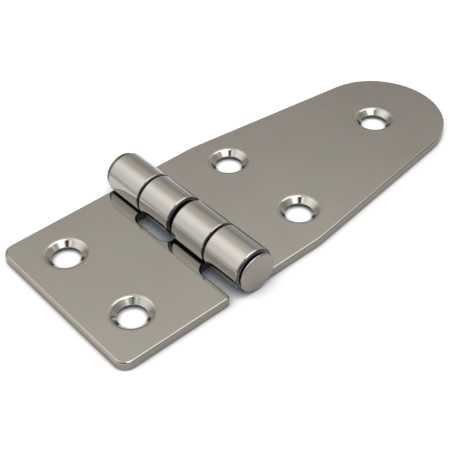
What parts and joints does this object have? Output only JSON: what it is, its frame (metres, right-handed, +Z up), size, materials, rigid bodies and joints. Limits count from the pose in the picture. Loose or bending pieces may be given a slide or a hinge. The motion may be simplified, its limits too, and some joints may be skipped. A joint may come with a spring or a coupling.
{
  "type": "strap hinge",
  "caption": "Flat strap hinge of polished sheet steel: a rectangular leaf and a tapered round-ended leaf on a headed pin, with countersunk screw holes.",
  "frame": {"origin": "under the middle of the pin, on the plane of the backs of the two leaves", "axes": "+X out along the long leaf, +Y along the pin from the end of the long leaf's outer knuckle to the other, +Z up from the backs"},
  "size_m": [0.0976, 0.0398, 0.0088],
  "materials": {
    "polished_sheet": "mirror-polished stainless sheet steel",
    "pin_steel": "polished stainless steel pin"
  },
  "bodies": {
    "long_leaf": {"long_leaf": "polished_sheet", "hinge_pin": "pin_steel"},
    "short_leaf": {"short_leaf": "polished_sheet"}
  },
  "joints": [
    {"name": "leaf_swing", "type": "hinge", "parent": "long_leaf", "child": "short_leaf", "pos_m": [0, 0, 0.0044], "axis": [0, 1, 0], "range_deg": [-90, 185]}
  ]
}
